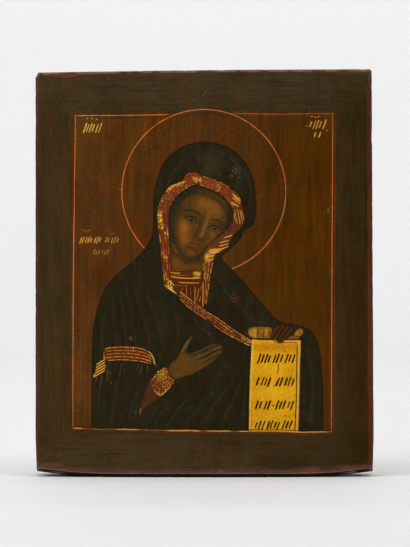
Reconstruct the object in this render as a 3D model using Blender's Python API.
"""A painted wooden icon panel with two battens let into its back.

Run it with: blender --background --python part.py
Units are metres, +Z is up. The panel stands on its lower edge, its painted face looks along -Y,
and the origin is under the middle of the whole part, at the level it stands on.
"""

import math

import bmesh
import bpy

# Outline of the board, seen from the front
PANEL_WIDTH = 0.2631  # at the foot
HEIGHT_AT_LEFT = 0.3140
HEIGHT_AT_RIGHT = 0.3166
FOOT_LENGTH = 0.150  # flat stretch of the lower edge that the panel stands on
FOOT_RISE = 0.0042  # how far the lower edge lifts from that level at each corner
FOOT_RISE_POWER = 1.8  # 1 would lift it in a straight line, and more lifts it late
RIGHT_LEAN = 0.0017  # how far the right side comes in on its way up
SIDE_TAPER = 0.0010  # how far each side comes in at the lower corners
SIDE_TAPER_HEIGHT = 0.030  # and the height at which it starts to
WORN_CORNER_DROP = 0.0042  # the top left corner is worn off by this much down the side
WORN_CORNER_RUN = 0.0024  # and this much along the top
CORNER_ROUND = 0.0014

# Thickness and bow of the board
PANEL_THICKNESS = 0.028
BOW = 0.006  # the middle of the face stands this far in front of its two sides
FRONT_ARRIS = 0.0020
BACK_ARRIS = 0.0012

# Battens in dovetailed grooves, driven in from opposite sides
GROOVE_DEPTH = 0.008
GROOVE_END_WALL = 0.016  # wood left at the closed end of each groove
DOVETAIL_UNDERCUT = 0.0025  # how much wider the groove is at its floor, on each flank
BATTEN_WIDE_END = 0.031  # height of the batten at the board's back, where it was driven in
BATTEN_NARROW_END = 0.026
BATTEN_PROUD = 0.007  # how far a batten stands out of the back
BATTEN_CHAMFER = 0.0022
BATTEN_SIDE_DRAFT = 0.0004  # how far the proud part's sides lean in
BATTEN_END_SLOPE = 0.006  # the outer face of a batten ends this far short of its root
BATTEN_END_PROUD = 0.0015  # how far the low end of that slope stands out of the back
BATTEN_END_CHAMFER = 0.0006
BATTEN_INSET = 0.0015  # how far the driven end stays inside the board's side
UPPER_BATTEN_HEIGHT = 0.243  # centre line above the floor
LOWER_BATTEN_HEIGHT = 0.072
BATTEN_GAP = 0.0003
CUTTER_OVERSHOOT = 0.002  # how far a cutter runs past the wood, so that it cuts clean through

# Fineness of the mesh
BOW_SLICES = 26
RISE_STEPS = 5
ARRIS_SEGMENTS = 3

HALF_WIDTH = PANEL_WIDTH / 2
PART_DEPTH = PANEL_THICKNESS + BATTEN_PROUD
PAINT_COLOUR = (0.043, 0.029, 0.013, 1.0)
WOOD_COLOUR = (0.105, 0.058, 0.028, 1.0)


def clear_scene():
    """Removes whatever the file opened with."""
    for obj in list(bpy.data.objects):
        bpy.data.objects.remove(obj, do_unlink=True)


def make_collection(name):
    """A new collection in the scene."""
    collection = bpy.data.collections.new(name)
    bpy.context.scene.collection.children.link(collection)
    return collection


def make_material(name, colour, roughness):
    """A plain material with one colour."""
    material = bpy.data.materials.new(name)
    material.use_nodes = True
    shader = material.node_tree.nodes["Principled BSDF"]
    shader.inputs["Base Color"].default_value = colour
    shader.inputs["Roughness"].default_value = roughness
    shader.inputs["Metallic"].default_value = 0.0
    return material


def object_from(name, mesh_builder, collection, material=None):
    """An object that holds a bmesh's geometry."""
    mesh = bpy.data.meshes.new(name)
    mesh_builder.to_mesh(mesh)
    mesh_builder.free()
    obj = bpy.data.objects.new(name, mesh)
    collection.objects.link(obj)
    if material:
        mesh.materials.append(material)
    return obj


def bow_offset(x):
    """How far the bow carries a slice at x towards the viewer."""
    return -BOW * (1 - (x / HALF_WIDTH) ** 2)


def depth_centring():
    """The shift along Y that puts the middle of the part's depth over the origin."""
    front = bow_offset(0)
    batten_end = HALF_WIDTH - BATTEN_INSET - BATTEN_END_SLOPE
    back = max(PANEL_THICKNESS, PART_DEPTH + bow_offset(batten_end))
    return -(front + back) / 2


def side_reach(side, height):
    """How far the board's side stands from its middle. side is +1 for the right side."""
    lean = RIGHT_LEAN if side > 0 else 0.0
    return HALF_WIDTH - lean * height / HEIGHT_AT_RIGHT


def outline_points():
    """The board's outline as (x, z) pairs, counterclockwise from the foot's right end."""
    half_foot = FOOT_LENGTH / 2
    points = []
    reach = HALF_WIDTH - SIDE_TAPER
    for step in range(RISE_STEPS + 1):
        share = step / RISE_STEPS
        points.append((half_foot + (reach - half_foot) * share, FOOT_RISE * share**FOOT_RISE_POWER))
    top_right = side_reach(1, HEIGHT_AT_RIGHT)
    points.append((side_reach(1, SIDE_TAPER_HEIGHT), SIDE_TAPER_HEIGHT))
    points.append((top_right, HEIGHT_AT_RIGHT - CORNER_ROUND))
    points.append((top_right - CORNER_ROUND, HEIGHT_AT_RIGHT))
    corner_top = -HALF_WIDTH + WORN_CORNER_RUN
    points.append((corner_top, HEIGHT_AT_LEFT))
    points.append((-HALF_WIDTH, HEIGHT_AT_LEFT - WORN_CORNER_DROP))
    points.append((-HALF_WIDTH, SIDE_TAPER_HEIGHT))
    for step in range(RISE_STEPS, -1, -1):
        share = step / RISE_STEPS
        points.append((-half_foot - (reach - half_foot) * share, FOOT_RISE * share**FOOT_RISE_POWER))
    return points


def slice_and_bow(builder):
    """Cuts the geometry into upright slices and shifts each of them to follow the board's bow."""
    for number in range(1, BOW_SLICES):
        station = -HALF_WIDTH + PANEL_WIDTH * number / BOW_SLICES
        bmesh.ops.bisect_plane(
            builder,
            geom=builder.verts[:] + builder.edges[:] + builder.faces[:],
            plane_co=(station, 0, 0),
            plane_no=(1, 0, 0),
            dist=1e-6,
        )
    for vertex in builder.verts:
        vertex.co.y += bow_offset(vertex.co.x) + depth_centring()
    bmesh.ops.triangulate(builder, faces=builder.faces[:])
    bmesh.ops.recalc_face_normals(builder, faces=builder.faces[:])


def straight_board():
    """The board before its grooves are cut and before it bows: front at Y 0, back at its thickness."""
    builder = bmesh.new()
    front = [builder.verts.new((x, 0, z)) for x, z in outline_points()]
    face = builder.faces.new(front)
    extruded = bmesh.ops.extrude_face_region(builder, geom=[face])
    back = [item for item in extruded["geom"] if isinstance(item, bmesh.types.BMVert)]
    bmesh.ops.translate(builder, verts=back, vec=(0, PANEL_THICKNESS, 0))
    bmesh.ops.recalc_face_normals(builder, faces=builder.faces[:])
    for level, width, segments in (
        (0.0, FRONT_ARRIS, ARRIS_SEGMENTS),
        (PANEL_THICKNESS, BACK_ARRIS, 1),
    ):
        rim = [
            edge
            for edge in builder.edges
            if all(abs(vertex.co.y - level) < 1e-6 for vertex in edge.verts)
        ]
        bmesh.ops.bevel(
            builder,
            geom=rim,
            offset=width,
            segments=segments,
            profile=0.5,
            affect="EDGES",
            clamp_overlap=False,
        )
    return builder


def tapered_bar(sections):
    """A closed bar through sections. Each is an x and a ring of (y, z), all with as many points."""
    builder = bmesh.new()
    rings = [[builder.verts.new((x, y, z)) for y, z in ring] for x, ring in sections]
    count = len(rings[0])
    for near, far in zip(rings[:-1], rings[1:]):
        for index in range(count):
            after = (index + 1) % count
            builder.faces.new((near[index], near[after], far[after], far[index]))
    builder.faces.new(rings[0])
    builder.faces.new(rings[-1][::-1])
    bmesh.ops.recalc_face_normals(builder, faces=builder.faces[:])
    return builder


def groove_run(height):
    """How far a groove at this height runs in from the board's side."""
    return side_reach(1, height) + side_reach(-1, height) - GROOVE_END_WALL


def batten_half_height(run, full_run):
    """Half the batten's height at the board's back, run metres in from the board's side."""
    return (BATTEN_WIDE_END + (BATTEN_NARROW_END - BATTEN_WIDE_END) * run / full_run) / 2


def groove_cutter(side, height):
    """What a groove removes. side is +1 where the batten is driven in from +X."""
    overshoot = CUTTER_OVERSHOOT
    undercut_per_depth = DOVETAIL_UNDERCUT / GROOVE_DEPTH
    sections = []
    full_run = groove_run(height)
    for run in (-overshoot, full_run):
        root = batten_half_height(run, full_run)
        floor = root + DOVETAIL_UNDERCUT
        open_side = root - undercut_per_depth * overshoot
        ring = [
            (PANEL_THICKNESS - GROOVE_DEPTH, height - floor),
            (PANEL_THICKNESS - GROOVE_DEPTH, height + floor),
            (PANEL_THICKNESS + overshoot, height + open_side),
            (PANEL_THICKNESS + overshoot, height - open_side),
        ]
        sections.append((side * (side_reach(side, height) - run), ring))
    return tapered_bar(sections)


def straight_batten(side, height):
    """A batten before it bows with the board, smaller all round than its groove by the gap."""
    sections = []
    start = BATTEN_INSET
    full_run = groove_run(height)
    end = full_run - BATTEN_GAP
    slope = BATTEN_END_SLOPE
    floor_level = PANEL_THICKNESS - GROOVE_DEPTH + BATTEN_GAP
    low_end = (BATTEN_END_PROUD, BATTEN_END_CHAMFER)
    full = (BATTEN_PROUD, BATTEN_CHAMFER)
    stations = ((start, low_end), (start + slope, full), (end - slope, full), (end, low_end))
    for run, (proud, chamfer) in stations:
        root = batten_half_height(run, full_run) - BATTEN_GAP
        floor = root + DOVETAIL_UNDERCUT * (1 - BATTEN_GAP / GROOVE_DEPTH)
        outer = PANEL_THICKNESS + proud
        side_top = root - BATTEN_SIDE_DRAFT
        ring = [
            (floor_level, height - floor),
            (floor_level, height + floor),
            (PANEL_THICKNESS, height + root),
            (outer - chamfer, height + side_top),
            (outer, height + side_top - chamfer),
            (outer, height - side_top + chamfer),
            (outer - chamfer, height - side_top),
            (PANEL_THICKNESS, height - root),
        ]
        sections.append((side * (side_reach(side, height) - run), ring))
    return tapered_bar(sections)


def make_board(parts, cutters, material):
    """The board with both grooves, bowed."""
    board = object_from("board", straight_board(), parts, material)
    for name, side, height in BATTENS:
        cutter = object_from(name + "_groove", groove_cutter(side, height), cutters)
        cutter.hide_render = True
        cutter.display_type = "WIRE"
        cut = board.modifiers.new("cut " + name, "BOOLEAN")
        cut.operation = "DIFFERENCE"
        cut.solver = "EXACT"
        cut.object = cutter
    graph = bpy.context.evaluated_depsgraph_get()
    cut_mesh = bpy.data.meshes.new_from_object(board.evaluated_get(graph))
    board.modifiers.clear()
    builder = bmesh.new()
    builder.from_mesh(cut_mesh)
    slice_and_bow(builder)
    builder.to_mesh(board.data)
    builder.free()
    bpy.data.meshes.remove(cut_mesh)
    board.data.shade_smooth()
    board.data.set_sharp_from_angle(angle=math.radians(30))


def make_batten(name, side, height, parts, material):
    """One batten, bowed with the board."""
    builder = straight_batten(side, height)
    slice_and_bow(builder)
    object_from(name, builder, parts, material)


BATTENS = (
    ("upper_batten", 1, UPPER_BATTEN_HEIGHT),
    ("lower_batten", -1, LOWER_BATTEN_HEIGHT),
)


def main():
    clear_scene()
    parts = make_collection("icon_panel")
    cutters = make_collection("cutters")
    paint = make_material("painted_board", PAINT_COLOUR, 0.45)
    wood = make_material("batten_wood", WOOD_COLOUR, 0.75)
    make_board(parts, cutters, paint)
    for name, side, height in BATTENS:
        make_batten(name, side, height, parts, wood)


main()
